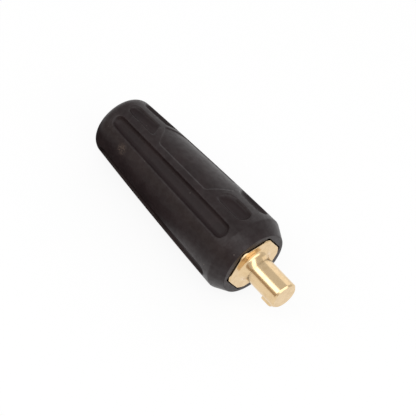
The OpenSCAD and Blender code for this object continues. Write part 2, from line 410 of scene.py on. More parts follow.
class TurnedPiece(Piece):
    """A piece turned about an axis, whose rings may leave the circle."""

    closed = False
    columns: int

    def angles(self) -> np.ndarray:
        """Returns the angles of the mesh's columns, evenly round the axis, in degrees."""
        return np.linspace(0.0, 360.0, self.columns, endpoint=False)

    def rings(self) -> list[Ring]:
        """Returns the rings in the order of the profile."""
        raise NotImplementedError

    def shape(self) -> bmesh.types.BMesh:
        """Spins the profile and moves each point of it to its ring's place.

        Returns:
            The turned mesh, with the number of its ring on each vertex.
        """
        angles = self.angles()
        rings = self.rings()
        shape = bmesh.new()
        number = shape.verts.layers.int.new("ring")
        start = np.zeros(1)
        verts = []
        for index, ring in enumerate(rings):
            radius, height = ring(start)
            vert = shape.verts.new((float(radius[0]), 0.0, float(height[0])))
            vert[number] = index
            verts.append(vert)
        pairs = list(zip(verts, verts[1:]))
        if self.closed:
            pairs.append((verts[-1], verts[0]))
        edges = [shape.edges.new(pair) for pair in pairs]
        count = len(angles)
        bmesh.ops.spin(shape, geom=verts + edges, cent=(0, 0, 0), axis=(0, 0, 1), dvec=(0, 0, 0),
                       angle=2.0 * math.pi, steps=count, use_merge=True)
        turns = np.radians(angles)
        places = np.empty((len(rings), count, 3))
        for index, ring in enumerate(rings):
            radius, height = ring(angles)
            places[index, :, 0] = radius * np.cos(turns)
            places[index, :, 1] = radius * np.sin(turns)
            places[index, :, 2] = height
        for vert in shape.verts:
            column = round(math.atan2(vert.co.y, vert.co.x) / (2.0 * math.pi) * count) % count
            vert.co = places[vert[number], column]
        put_in_order(shape)
        return shape


@dataclass
class Sleeve(TurnedPiece):
    """The moulded rubber sleeve: fluted outside, with a plain recessed plate, and its bore."""

    fit: Fit
    name: str = "rubber_sleeve"
    node: str = "sleeve"
    slot: Slot = Slot.RUBBER
    length: float = 95.8
    setback: float = 0.6
    shoulder_d: float = 39.0
    tail_d: float = 29.1
    bow: float = 0.45
    nose_wall: float = 1.4
    nose_len: float = 6.7
    shoulder_round: float = 1.8
    nose_round: float = 0.5
    tail_round: float = 5.5
    mouth_round: float = 0.3
    mouth_corner_cut: float = 0.3
    mouth_support: float = 0.2
    entry_d: float = 14.5
    entry_len: float = 10.0
    entry_round: float = 0.5
    lip_h: float = 1.25
    lip_round: float = 0.3
    funnel_len: float = 8.0
    funnel_round: float = 0.6
    flute_pitch: float = 36.0
    flute_count: int = 4
    flute_span: float = 23.0
    flute_depth: float = 1.8
    flute_draft: float = 36.0
    flute_front: float = 9.7
    flute_rear: float = 6.6
    flute_end_ease: float = 0.8
    flute_edge_round: float = 0.35
    flute_floor_round: float = 1.1
    flute_corner_round: float = 0.8
    stop_round_front: float = 2.4
    stop_round_rear: float = 0.8
    plate_depth: float = 0.5
    plate_span: float = 66.0
    plate_front: float = 25.8
    plate_rear: float = 23.9
    plate_point: float = 6.9
    plate_border: float = 2.0
    plate_edge_round: float = 0.2
    plate_draft: float = 52.0
    plate_ease: float = 0.05
    plate_corner_round: float = 0.6
    search_out: float = 0.5
    search_in: float = 2.0
    search_steps: int = 22
    wall_column_gap: float = 0.12
    floor_column_gap: float = 0.7
    plain_column_gap: float = 1.5
    column_step: float = 2.4
    corner_steps: tuple[float, ...] = (-1.4, -0.7, 0.7, 1.4)
    mouth_blends: tuple[float, ...] = (0.85, 0.5, 0.15)
    nose_shares: tuple[float, ...] = (0.06, 0.35, 0.65, 0.94)
    rings_between: tuple[int, ...] = (2, 6, 12, 5)
    mouth_steps: int = 5
    nose_steps: int = 6
    shoulder_steps: int = 9
    tail_steps: int = 14
    closed: bool = True

    def __post_init__(self) -> None:
        """Works out the heights and the angles that the sizes give."""
        self.face = -self.setback
        self.tail = self.face - self.length
        self.shoulder = self.face - self.nose_len
        self.flute_top = self.face - self.flute_front
        self.flute_bottom = self.tail + self.flute_rear
        self.plate_top = self.face - self.plate_front
        self.plate_bottom = self.tail + self.plate_rear
        self.skin_len = self.shoulder - self.tail
        self.taper = (self.shoulder_d - self.tail_d) / 2.0 / self.skin_len
        self.cone_tip = self.shoulder - self.shoulder_d / 2.0 / self.taper
        self.middles = [half - index * self.flute_pitch
                        for half in (0.0, 180.0) for index in range(self.flute_count)]
        self.plate_middle = -self.flute_pitch * (self.flute_count - 1) / 2.0
        self.half = math.radians(self.flute_span / 2.0)

    def skin_r(self, height: Number) -> Number:
        """Radius of the bowed skin at a height."""
        rise = 4.0 * self.bow * (self.shoulder - height) * (height - self.tail) / self.skin_len ** 2
        return (height - self.cone_tip) * self.taper + rise

    def skin_lean(self, height: float) -> float:
        """Lean of the skin at a height, in degrees."""
        turn = 4.0 * self.bow * (self.shoulder + self.tail - 2.0 * height) / self.skin_len ** 2
        return math.degrees(math.atan(self.taper + turn))

    def lie(self) -> Lie:
        """Works out how the plug lies astride a flute, on its collar and on two ribs.

        Returns:
            The lean of the axis and the turn about it.
        """
        drop = math.cos(self.half)
        top = self.skin_r(self.flute_top)
        reach = self.skin_len * math.sqrt(top * (1.0 / drop - 1.0) / 4.0 / self.bow)
        rib = max(self.flute_bottom, self.flute_top - reach)
        slopes = ((top - drop * self.skin_r(rib)) / (self.flute_top - rib),
                  (top - self.skin_r(self.flute_bottom)) / (self.flute_top - self.flute_bottom))
        return Lie(lean=math.degrees(math.atan(min(slopes))), turn=self.flute_pitch - 180.0)

    def nearest_flute(self, angle: np.ndarray) -> tuple[np.ndarray, np.ndarray]:
        """Finds the flute nearest to each angle.

        Args:
            angle: Angles in degrees.

        Returns:
            The angles from that flute's middle, and whether the plate crosses the flute.
        """
        offs = np.stack([between(angle, middle) for middle in self.middles])
        index = np.abs(offs).argmin(axis=0)
        off = np.take_along_axis(offs, index[None], axis=0)[0]
        reach = (self.plate_span - self.flute_span) / 2.0
        crossed = np.abs(between(angle - off, self.plate_middle)) < reach
        return off, crossed

    def slanted_edge(self, end: End, border: float, draft: float, across: np.ndarray,
                     aside: np.ndarray, height: np.ndarray) -> np.ndarray:
        """Signed distance to one pointed end of the plate's outline, negative on the plate's side.

        Args:
            end: The end.
            border: Distance by which the outline is moved out.
            draft: Draft of its wall, in degrees.
            across: Distance out along the plate's middle.
            aside: Distance from the plate's middle plane.
            height: Height along the axis.

        Returns:
            The distances.
        """
        corner_z = self.plate_corner(end)
        slant = self.plate_slant(end)
        point = corner_z + end.value * (self.plate_point + border / math.cos(slant))
        lean = math.radians(draft)
        run = math.sin(slant) * np.abs(aside) + end.value * math.cos(slant) * (height - point)
        return math.sin(lean) * (across - self.skin_r(point)) + math.cos(lean) * run

    def flute_stop(self, end: End) -> float:
        """Height of an end of the flutes."""
        return self.flute_top if end is End.FRONT else self.flute_bottom

    def plate_corner(self, end: End) -> float:
        """Height at which a pointed end of the plate begins."""
        point = self.plate_top if end is End.FRONT else self.plate_bottom
        return point - end.value * self.plate_point

    @property
    def plate_waist(self) -> float:
        """Height of the plate's middle."""
        return (self.plate_top + self.plate_bottom) / 2.0

    def plate_slant(self, end: End) -> float:
        """Slant of a pointed end's edges, in radians."""
        half_width = self.skin_r(self.plate_corner(end)) * math.sin(math.radians(self.plate_span / 2.0))
        return math.atan(self.plate_point / half_width)

    def flute_end(self, end: End, across: np.ndarray, aside: np.ndarray,
                  height: np.ndarray) -> np.ndarray:
        """Signed distance to the drafted round end of a flute, negative inside the flute.

        Args:
            end: The end.
            across: Distance out along the flute's middle.
            aside: Distance from the flute's middle plane, not negative.
            height: Height along the axis.

        Returns:
            The distances.
        """
        edge = self.flute_stop(end)
        size = self.flute_end_r(edge)
        beyond = end.value * (height - edge) + size
        wide = np.where(beyond > 0.0, size, self.flute_end_r(height))
        draft = math.radians(self.flute_draft)
        depth = self.skin_r(height) - across
        run = np.hypot(aside, np.maximum(beyond, 0.0)) - wide
        return math.cos(draft) * (run + depth * math.tan(draft))

    def flute_end_r(self, height: Number) -> Number:
        """Radius of the curve that ends a flute at a height."""
        return self.skin_r(height) * math.sin(self.half) + self.flute_end_ease

    def flute_air(self, radius: np.ndarray, angle: np.ndarray, height: np.ndarray) -> np.ndarray:
        """Signed distance to the nearest flute, negative in its hollow.

        Args:
            radius: Radii of the points.
            angle: Angles of the points, in degrees.
            height: Heights of the points.

        Returns:
            The distances.
        """
        off, crossed = self.nearest_flute(angle)
        across = radius * np.cos(np.radians(off))
        aside = radius * np.abs(np.sin(np.radians(off)))
        draft = math.radians(self.flute_draft)
        cone = (height - self.cone_tip) * self.taper
        wall = aside * math.cos(draft) - across * math.sin(draft) - cone * math.sin(self.half - draft)
        ends = [self.flute_end(end, across, aside, height) for end in End]
        plan = corner(wall, np.maximum(*ends), self.flute_corner_round)
        turn = np.radians(between(angle, self.plate_middle))
        for end, size in ((End.FRONT, self.stop_round_front), (End.REAR, self.stop_round_rear)):
            edge = self.slanted_edge(end, self.plate_border, self.flute_draft, radius * np.cos(turn),
                                     radius * np.sin(turn), height)
            near = crossed & (end.value * (height - self.plate_waist) > 0.0)
            plan = np.where(near, corner(plan, -edge, size), plan)
        floor = self.skin_r(height) - self.flute_depth - radius
        return corner(plan, floor, self.flute_floor_round)

    def plate_air(self, radius: np.ndarray, angle: np.ndarray, height: np.ndarray) -> np.ndarray:
        """Signed distance to the plate's recess, negative in its hollow.

        Args:
            radius: Radii of the points.
            angle: Angles of the points, in degrees.
            height: Heights of the points.

        Returns:
            The distances.
        """
        turn = np.radians(between(angle, self.plate_middle))
        across = radius * np.cos(turn)
        aside = radius * np.abs(np.sin(turn))
        span = math.radians(self.plate_span / 2.0)
        draft = math.radians(self.plate_draft)
        skin = self.skin_r(height)
        side = aside * math.cos(span + draft) - across * math.sin(span + draft) + skin * math.sin(draft)
        side = side - self.plate_ease * math.cos(draft)
        runs = [self.slanted_edge(end, self.plate_ease, 0.0, across, aside, height) for end in End]
        front, rear = (math.cos(draft) * run - math.sin(draft) * (radius - skin) for run in runs)
        plan = corner(side, corner(front, rear, self.plate_edge_round), self.plate_corner_round)
        floor = skin - self.plate_depth - radius
        return corner(plan, floor, self.plate_edge_round)

    def surface(self, radius: np.ndarray, angle: np.ndarray, height: np.ndarray) -> np.ndarray:
        """Signed distance to the skin with its flutes and its plate, negative in the rubber."""
        skin = radius - self.skin_r(height)
        fluted = corner(skin, -self.flute_air(radius, angle, height), self.flute_edge_round)
        plated = corner(skin, -self.plate_air(radius, angle, height), self.plate_edge_round)
        return np.maximum(fluted, plated)

    def surface_radius(self, angle: np.ndarray, height: np.ndarray) -> np.ndarray:
        """Finds the radius of the surface by halving.

        Args:
            angle: Angles in degrees.
            height: Heights.

        Returns:
            The radius at each angle and height.
        """
        high = self.skin_r(height) + self.search_out
        low = high - self.flute_depth - self.search_in
        for _ in range(self.search_steps):
            middle = (low + high) / 2.0
            outside = self.surface(middle, angle, height) > 0.0
            high = np.where(outside, middle, high)
            low = np.where(outside, low, middle)
        return (low + high) / 2.0

    def flute_guide(self, end: End, angle: np.ndarray) -> np.ndarray:
        """Height of the line along which the flutes end, at each angle."""
        edge = self.flute_stop(end)
        size = self.flute_end_r(edge)
        off, _ = self.nearest_flute(angle)
        off = np.minimum(np.abs(np.radians(off)), self.half)
        aside = self.skin_r(edge) * np.sin(off)
        return edge + end.value * (np.sqrt(size ** 2 - aside ** 2) - size)

    def plate_guide(self, end: End, angle: np.ndarray) -> np.ndarray:
        """Height of the line along which the plate ends, at each angle."""
        corner_z = self.plate_corner(end)
        off = np.minimum(np.abs(between(angle, self.plate_middle)), self.plate_span / 2.0)
        aside = self.skin_r(corner_z) * np.sin(np.radians(off))
        run = self.plate_point - math.tan(self.plate_slant(end)) * aside
        return corner_z + end.value * np.maximum(run, 0.0)

    def skin_rings(self, first: float, last: float) -> list[Ring]:
        """Rings from the shoulder to the tail, closest along the ends of flutes and plate.

        Args:
            first: Height of the first ring.
            last: Height of the last ring.

        Returns:
            The rings.
        """
        guides = [level_guide(first)]
        groups = ((self.flute_guide, End.FRONT, FLUTE_END_STEPS),
                  (self.plate_guide, End.FRONT, PLATE_END_STEPS),
                  (self.plate_guide, End.REAR, PLATE_END_STEPS),
                  (self.flute_guide, End.REAR, FLUTE_END_STEPS))
        for (guide, end, steps), before in zip(groups, self.rings_between):
            lines = [shifted(partial(guide, end), end.value * step) for step in steps[::end.value]]
            guides += spread(guides[-1], lines[0], before) + lines
        guides += spread(guides[-1], level_guide(last), 1) + [level_guide(last)]

        def ring(guide: Guide, angle: np.ndarray) -> tuple[np.ndarray, np.ndarray]:
            """Radius and height at each angle."""
            height = guide(angle)
            return self.surface_radius(angle, height), height

        return [partial(ring, guide) for guide in guides]

    @property
    def mouth_apothem(self) -> float:
        """Half the width of the hexagonal mouth across its flats."""
        return self.fit.hex_af / 2.0 + self.fit.mouth_gap

    def mouth_rings(self, outer: float) -> list[Ring]:
        """Rings of the mouth, from its seat out to the front face, where they turn round.

        Args:
            outer: Radius of the circle that the last rings come close to.

        Returns:
            The rings.
        """
        fit = self.fit
        size = self.mouth_round
        limit = corner_radius(self.mouth_apothem) - self.mouth_corner_cut
        profile = [(0.0, fit.seat), (0.0, -fit.hex_len / 2.0), (0.0, self.face - size - self.mouth_support)]
        profile += arc((size, self.face - size), size, 180.0, 90.0, self.mouth_steps)
        shares = [(run, height, 1.0) for run, height in profile]
        shares += [(size, self.face, blend) for blend in self.mouth_blends]
        return [hexagon_ring(self.mouth_apothem + run, height, fit.hex_turn, limit + run, blend, outer)
                for run, height, blend in shares]

    def bore_profile(self, outer: float) -> list[Point]:
        """Profile from the tail's flat ring through the cable entry, lip, passage and funnel.

        Args:
            outer: Radius at which the flat ring begins.

        Returns:
            Radius and height of each point.
        """
        entry_r = self.entry_d / 2.0
        passage_r = entry_r + self.lip_h
        bore_r = self.fit.barrel_r + self.fit.barrel_gap
        lip = self.tail + self.entry_len
        bore_end = self.fit.barrel_end - self.fit.funnel_gap
        return rounded([(outer, self.tail, 0.0),
                        (entry_r, self.tail, self.entry_round),
                        (entry_r, lip, self.lip_round),
                        (passage_r, lip + self.lip_h, self.lip_round),
                        (passage_r, bore_end - self.funnel_len, self.funnel_round),
                        (bore_r, bore_end, self.funnel_round),
                        (bore_r, self.fit.seat, 0.0)])

    def rings(self) -> list[Ring]:
        """Rings round the whole section: mouth, nose, skin, tail, and back through the bore.

        Returns:
            The rings.
        """
        rim = corner_radius(self.mouth_apothem) + self.nose_wall
        front_lean = self.skin_lean(self.shoulder)
        rise = self.skin_r(self.shoulder) - rim
        nose_lean = math.degrees(math.atan(rise / self.nose_len))
        cut = self.shoulder_round * math.tan(math.radians((nose_lean + front_lean) / 2.0))
        front = math.radians(front_lean)
        shoulder_centre = (
            self.skin_r(self.shoulder) - cut * math.sin(front) - self.shoulder_round * math.cos(front),
            self.shoulder - cut * math.cos(front) + self.shoulder_round * math.sin(front))
        nose_cut = self.nose_round * math.tan(math.radians((90.0 - nose_lean) / 2.0))
        nose_centre = (rim - nose_cut, self.face - self.nose_round)
        rear_lean = self.skin_lean(self.tail)
        tail_cut = self.tail_round * math.tan(math.radians((90.0 - rear_lean) / 2.0))
        tail_centre = (self.skin_r(self.tail) - tail_cut, self.tail + self.tail_round)
        nose = arc(nose_centre, self.nose_round, 90.0, nose_lean, self.nose_steps)
        shoulder = arc(shoulder_centre, self.shoulder_round, nose_lean, -front_lean,
                       self.shoulder_steps)
        flank = [tuple(np.array(nose[-1]) + (np.array(shoulder[0]) - np.array(nose[-1])) * share)
                 for share in self.nose_shares]
        tail = arc(tail_centre, self.tail_round, -rear_lean, -90.0, self.tail_steps)
        rings = self.mouth_rings(nose_centre[0])
        rings += round_rings(nose + flank + shoulder[:-1])
        rings += self.skin_rings(shoulder[-1][1], tail[0][1])
        return rings + round_rings(tail[1:] + self.bore_profile(tail[-1][0])[1:])

    def angles(self) -> np.ndarray:
        """Angles of the columns, closest across the walls of the flutes and the plate's sides.

        Returns:
            The angles in degrees.
        """
        walls = [middle + side * (self.flute_span / 2.0 - step)
                 for middle in self.middles for side in (-1, 1) for step in FLUTE_WALL_STEPS]
        floors = [middle + step for middle in self.middles for step in FLUTE_FLOOR_STEPS]
        plate_steps = [step for columns in PLATE_COLUMNS for step in np.arange(*columns)]
        edges = [self.plate_middle + side * (self.plate_span / 2.0 + step)
                 for side in (-1, 1) for step in plate_steps]
        sides = [self.plate_middle + side * self.plate_span / 2.0 for side in (-1, 1)]
        corners = self.fit.hex_corners
        near = [corner_angle + step for corner_angle in corners for step in self.corner_steps]
        first = thin(walls + edges + near, corners + sides, self.wall_column_gap)
        second = thin(floors, first, self.floor_column_gap)
        return thin(np.arange(0.0, 360.0, self.column_step), second, self.plain_column_gap)


def level_guide(height: float) -> Guide:
    """A guide at one height all round."""
    return lambda angle: np.full_like(angle, height)


def shifted(guide: Guide, step: float) -> Guide:
    """A guide moved along the axis."""
    return lambda angle: guide(angle) + step


def spread(first: Guide, last: Guide, count: int) -> list[Guide]:
    """Guides evenly between two others.

    Args:
        first: The guide before them.
        last: The guide after them.
        count: How many there are.

    Returns:
        The guides.
    """

    def share(part: float, angle: np.ndarray) -> np.ndarray:
        """Heights part of the way from the first guide to the last."""
        return (1.0 - part) * first(angle) + part * last(angle)

    return [partial(share, (index + 1) / (count + 1)) for index in range(count)]


@dataclass
class PlugBody(TurnedPiece):
    """The turned brass body: pin, lug, hexagon, barrel, cable socket and screw holes."""

    fit: Fit
    name: str = "brass_plug_body"
    node: str = "plug_body"
    slot: Slot = Slot.BRASS
    pin_d: float = 13.0
    pin_len: float = 20.0
    pin_heights: tuple[float, ...] = (11.0, 8.0, 5.0)
    root_round: float = 2.6
    root_rise: float = 3.7
    root_support: float = 0.2
    root_steps: int = 18
    tip_chamfer: float = 0.7
    tip_inner_round: float = 0.12
    tip_outer_round: float = 0.2
    tip_support: float = 1.0
    hex_chamfer: float = 0.5
    hex_round: float = 0.12
    hex_support: float = 0.15
    lug_len: float = 5.4
    lug_w: float = 4.0
    lug_h: float = 1.4
    lug_setback: float = 2.4
    lug_ramp: float = 0.6
    lug_bevel: float = 0.8
    lug_turn: float = 120.0
    lug_heights: tuple[float, ...] = (15.6, 14.2)
    lug_margin: float = 0.05
    lug_edge_round: float = 0.3
    lug_edge_steps: int = 3
    barrel_round: float = 0.1
    drill_lean: float = 30.0
    drill_past: float = 1.0
    drill_sides: int = 48
    corner_column_gap: float = 0.5
    column_gap: float = 0.45
    column_step: float = 2.5
    lug_rings: tuple[int, int] = field(default=(0, 0), init=False)

    @property
    def pin_r(self) -> float:
        """Radius of the pin."""
        return self.pin_d / 2.0

    @property
    def lug_half(self) -> float:
        """Half of the angle that the lug takes up on the pin, in degrees."""
        return math.degrees(math.asin(self.lug_w / 2.0 / self.pin_r))

    def lug_aside(self, angle: np.ndarray) -> np.ndarray:
        """Distance from the lug's middle plane on the pin's skin, no further than its sides."""
        off = np.clip(between(angle, self.lug_turn), -self.lug_half, self.lug_half)
        return self.pin_r * np.sin(np.radians(off))

    def lug_front(self, angle: np.ndarray) -> tuple[np.ndarray, np.ndarray]:
        """Ring along the lug's front end, with its two bevelled corners."""
        aside = np.abs(self.lug_aside(angle))
        drop = np.maximum(aside - (self.lug_w / 2.0 - self.lug_bevel), 0.0)
        return np.full_like(angle, self.pin_r), self.pin_len - self.lug_setback - drop

    def lug_rear(self, angle: np.ndarray) -> tuple[np.ndarray, np.ndarray]:
        """Ring along the lug's clamping face, which rises across the lug and falls round the pin."""
        off = between(angle, self.lug_turn)
        share = self.lug_aside(angle) / self.lug_w + 0.5
        fade = np.clip((np.abs(off) - self.lug_half) / (180.0 - self.lug_half), 0.0, 1.0)
        share = share + (0.5 - share) * fade
        bottom = self.pin_len - self.lug_setback - self.lug_len
        return np.full_like(angle, self.pin_r), bottom + self.lug_ramp * share

    def rings(self) -> list[Ring]:
        """Rings from the tip over the pin, hexagon and barrel, and into the socket.

        Returns:
            The rings.
        """
        fit = self.fit
        pin_r = self.pin_r
        tip = rounded([(0.0, self.pin_len, 0.0),
                       (pin_r - self.tip_chamfer, self.pin_len, self.tip_inner_round),
                       (pin_r, self.pin_len - self.tip_chamfer, self.tip_outer_round),
                       (pin_r, self.pin_len - self.tip_chamfer - self.tip_support, 0.0)])
        along_lug = round_rings([(pin_r, height) for height in self.lug_heights])
        rings = [*round_rings(tip), self.lug_front, *along_lug, self.lug_rear]
        self.lug_rings = (len(tip), len(rings) - 1)
        heights = (*self.pin_heights, self.root_rise + self.root_support)
        rings += round_rings([(pin_r, height) for height in heights])
        root = [(pin_r + self.root_round * (1.0 - math.cos(turn)), self.root_rise * (1.0 - math.sin(turn)))
                for turn in np.radians(np.linspace(0.0, 90.0, self.root_steps + 1))]
        face_r = pin_r + self.root_round + self.hex_support
        rings += round_rings(root + [(face_r, 0.0)])
        rings += self.hexagon_rings(face_r)
        socket_r = fit.socket_d / 2.0
        floor = fit.barrel_end + fit.socket_depth
        chamfer = fit.barrel_chamfer
        size = self.barrel_round
        rear = rounded([(fit.barrel_r, -fit.hex_len, 0.0),
                        (fit.barrel_r, fit.barrel_end + chamfer, size),
                        (fit.barrel_r - chamfer, fit.barrel_end, size),
                        (socket_r + chamfer, fit.barrel_end, size),
                        (socket_r, fit.barrel_end + chamfer, size),
                        (socket_r, floor, size),
                        (0.0, floor + socket_r * math.tan(math.radians(self.drill_lean)), 0.0)])
        return rings + round_rings(rear)

    def hexagon_rings(self, inner: float) -> list[Ring]:
        """Rings of the hexagon, whose corners are turned down and chamfered.

        Args:
            inner: Radius of the last ring inside its front face.

        Returns:
            The rings.
        """
        fit = self.fit
        apothem = fit.hex_af / 2.0
        turned = fit.hex_corner_r
        chamfer = self.hex_chamfer
        inset = self.hex_round + self.hex_support
        rings = [hexagon_ring(apothem - inset, 0.0, fit.hex_turn, turned - chamfer - inset, blend, inner)
                 for blend in (0.4, 0.8)]
        front = [(inset, 0.0)] + [(self.hex_round * in_by, self.hex_round * down_by)
                                  for in_by, down_by in QUARTER_ROUND]
        rings += [hexagon_ring(apothem - in_by, -down_by, fit.hex_turn, turned - chamfer + down_by - in_by)
                  for in_by, down_by in front]
        depths = [0.25, 0.38, chamfer, chamfer + 0.1, 1.2, fit.hex_len / 2.0]
        for depth in depths + [fit.hex_len - depth for depth in reversed(depths[:-1])]:
            cut = max(chamfer - depth, chamfer - (fit.hex_len - depth), 0.0)
            rings.append(hexagon_ring(apothem, -depth, fit.hex_turn, turned - cut))
        rings.append(hexagon_ring(apothem, -fit.hex_len, fit.hex_turn, turned - chamfer))
        return rings

    def angles(self) -> np.ndarray:
        """Angles of the columns, with those of the lug and of the hexagon's corners among them.

        Returns:
            The angles in degrees.
        """
        fit = self.fit
        bevel = math.degrees(math.asin((self.lug_w / 2.0 - self.lug_bevel) / self.pin_r))
        lug = [self.lug_turn + step for step in (-self.lug_half, -bevel, bevel, self.lug_half)]
        lands = [30.0 - math.degrees(math.acos(fit.hex_af / 2.0 / turned))
                 for turned in (fit.hex_corner_r, fit.hex_corner_r - self.hex_chamfer)]
        corners = [corner_angle + side * land
                   for corner_angle in fit.hex_corners for side in (-1, 1) for land in lands]
        near = [angle + side * self.corner_column_gap for angle in corners for side in (-1, 1)]
        plain = np.arange(0.0, 360.0, self.column_step)
        return thin([*near, *plain], lug + corners + fit.hex_corners, self.column_gap)

    def shape(self) -> bmesh.types.BMesh:
        """Turns the body and draws the lug out of the pin's skin.

        Returns:
            The mesh.
        """
        shape = super().shape()
        number = shape.verts.layers.int["ring"]
        first, last = self.lug_rings

        def in_lug(vert: bmesh.types.BMVert) -> bool:
            """Whether a vertex is on the part of the pin's skin that the lug covers."""
            angle = math.degrees(math.atan2(vert.co.y, vert.co.x))
            return first <= vert[number] <= last and \
                abs(between(np.array(angle), self.lug_turn)) < self.lug_half + self.lug_margin

        base = [face for face in shape.faces if all(in_lug(vert) for vert in face.verts)]
        drawn = bmesh.ops.extrude_face_region(shape, geom=base)["geom"]
        turn = Matrix.Rotation(math.radians(self.lug_turn), 4, "Z")
        for vert in (item for item in drawn if isinstance(item, bmesh.types.BMVert)):
            flat = turn.inverted() @ vert.co
            flat.x = math.sqrt((self.pin_r + self.lug_h) ** 2 - flat.y ** 2)
            vert.co = turn @ flat
        leftover = [face for face in base if face.is_valid]
        if leftover:
            bmesh.ops.delete(shape, geom=leftover, context="FACES")
        top = {item for item in drawn if isinstance(item, bmesh.types.BMFace)}
        rim = [edge for edge in shape.edges if len([face for face in edge.link_faces if face in top]) == 1]
        bmesh.ops.bevel(shape, geom=rim, offset=self.lug_edge_round, offset_type="OFFSET",
                        segments=self.lug_edge_steps, profile=0.5, affect="EDGES", material=-1,
                        clamp_overlap=True)
        return shape

    def finish(self, piece: bpy.types.Object, lie: Lie) -> None:
        """Cuts the two screw holes through one side of the barrel.

        Args:
            piece: The body's object.
            lie: How the plug lies.
        """
        fit = self.fit
        size = fit.screw_d / 2.0 + fit.thread_gap
        depth = fit.barrel_r + self.drill_past
        for height in fit.screw_heights:
            drill = bmesh.new()
            bmesh.ops.create_cone(drill, cap_ends=True, segments=self.drill_sides, radius1=size,
                                  radius2=size, depth=depth)
            out = ClampScrew.axis(height, fit.screw_turn) @ Matrix.Translation((0.0, 0.0, depth / 2.0))
            bmesh.ops.transform(drill, matrix=lie.matrix() @ out, verts=drill.verts)
            cutter = in_scene("screw_hole", as_mesh("screw_hole", drill))
            cut = piece.modifiers.new("screw_hole", "BOOLEAN")
            cut.operation = "DIFFERENCE"
            cut.solver = "EXACT"
            cut.object = cutter
            bpy.context.view_layer.update()
            depsgraph = bpy.context.evaluated_depsgraph_get()
            drilled = bpy.data.meshes.new_from_object(piece.evaluated_get(depsgraph))
            piece.modifiers.clear()
            piece.data = drilled
            bpy.data.objects.remove(cutter)


@dataclass
class ClampScrew(TurnedPiece):
    """A threaded clamp screw without a head, with a key socket."""

    fit: Fit
    name: str
    node: str
    height: float
    slot: Slot = Slot.STEEL
    thread_pitch: float = 1.25
    thread_depth: float = 0.7
    bevel: float = 0.7
    point_inset: float = 0.3
    key_af: float = 4.0
    key_floor: float = 2.5
    key_bevel: float = 0.25
    key_bevel_len: float = 0.2
    key_point: float = 0.4
    thread_slope: float = 1.3
    thread_crest: float = 0.15
    thread_rings: int = 41
    columns: int = 60

    @staticmethod
    def axis(height: float, turn: float) -> Matrix:
        """Frame of a screw, with its own axis out from the plug's axis."""
        return Matrix.Translation((0.0, 0.0, height)) @ \
            Matrix.Rotation(math.radians(turn), 4, "Z") @ Matrix.Rotation(math.pi / 2.0, 4, "Y")

    @property
    def point_r(self) -> float:
        """Distance of the screw's point from the plug's axis."""
        return self.fit.foil_r + self.fit.point_gap

    @property
    def length(self) -> float:
        """Length of the screw."""
        return self.fit.barrel_r - self.fit.screw_sink - self.point_r

    def place(self, lie: Lie) -> Matrix:
        """Returns the move from the screw's own frame to the row's frame."""
        out = Matrix.Translation((0.0, 0.0, self.point_r))
        return lie.matrix() @ self.axis(self.height, self.fit.screw_turn) @ out

    def rings(self) -> list[Ring]:
        """Rings from the point over the thread, and down into the key socket.

        Returns:
            The rings.
        """
        size = self.fit.screw_d / 2.0

        def thread(height: float, angle: np.ndarray) -> tuple[np.ndarray, np.ndarray]:
            """Radius of the thread at a height, within the bevelled ends."""
            turn = (height / self.thread_pitch - angle / 360.0) % 1.0
            flank = np.clip(np.abs(2.0 * turn - 1.0) * self.thread_slope - self.thread_crest, 0.0, 1.0)
            limit = size - self.bevel + min(height, self.length - height)
            return np.minimum(size - self.thread_depth * flank, limit), np.full_like(angle, height)

        rings = round_rings([(0.0, 0.0), (size - self.bevel - self.point_inset, 0.0)])
        rings += [partial(thread, height) for height in np.linspace(0.0, self.length, self.thread_rings)]
        apothem = self.key_af / 2.0
        key = ((self.key_bevel, self.length), (0.0, self.length - self.key_bevel_len), (0.0, self.key_floor))
        rings += [hexagon_ring(apothem + inset, height, 0.0, corner_radius(apothem) + inset)
                  for inset, height in key]
        return rings + round_rings([(0.0, self.key_floor - self.key_point)])


@dataclass
class ContactSleeve(Piece):
    """Sheet copper rolled to a slit tube, which lines the socket."""

    fit: Fit
    name: str = "copper_contact_sleeve"
    node: str = "contact_sleeve"
    slot: Slot = Slot.COPPER
    thickness: float = 0.4
    inset: float = 2.2
    slit: float = 1.6
    columns: int = 72
    row_shares: tuple[float, ...] = (0.0, 0.02, 0.5, 0.98, 1.0)
    edge_round: float = 0.05
    edge_steps: int = 2

    def shape(self) -> bmesh.types.BMesh:
        """Rolls a strip round the axis, along the middle of the sheet's thickness.

        Returns:
            The mesh.
        """
        fit = self.fit
        size = fit.foil_r - self.thickness / 2.0
        start = fit.barrel_end + fit.barrel_chamfer
        length = fit.socket_depth - fit.barrel_chamfer - self.inset
        gap = math.asin(self.slit / 2.0 / size)
        shape = bmesh.new()
        turn = Matrix.Rotation(math.radians(fit.screw_turn + 180.0) + gap, 4, "Z")
        ends = [shape.verts.new(turn @ Vector((size, 0.0, start + length * share)))
                for share in self.row_shares]
        edges = [shape.edges.new(pair) for pair in zip(ends, ends[1:])]
        bmesh.ops.spin(shape, geom=ends + edges, cent=(0, 0, 0), axis=(0, 0, 1), dvec=(0, 0, 0),
                       angle=2.0 * (math.pi - gap), steps=self.columns, use_merge=False)
        return shape

    def finish(self, piece: bpy.types.Object, lie: Lie) -> None:
        """Gives the strip its thickness and breaks its edges.

        Args:
            piece: The strip's object.
            lie: How the plug lies. Not used.
        """
        wall = piece.modifiers.new("sheet", "SOLIDIFY")
        wall.thickness = self.thickness * MM
        wall.offset = 0.0
        edge = piece.modifiers.new("edges", "BEVEL")
        edge.width = self.edge_round * MM
        edge.segments = self.edge_steps
        edge.limit_method = "ANGLE"


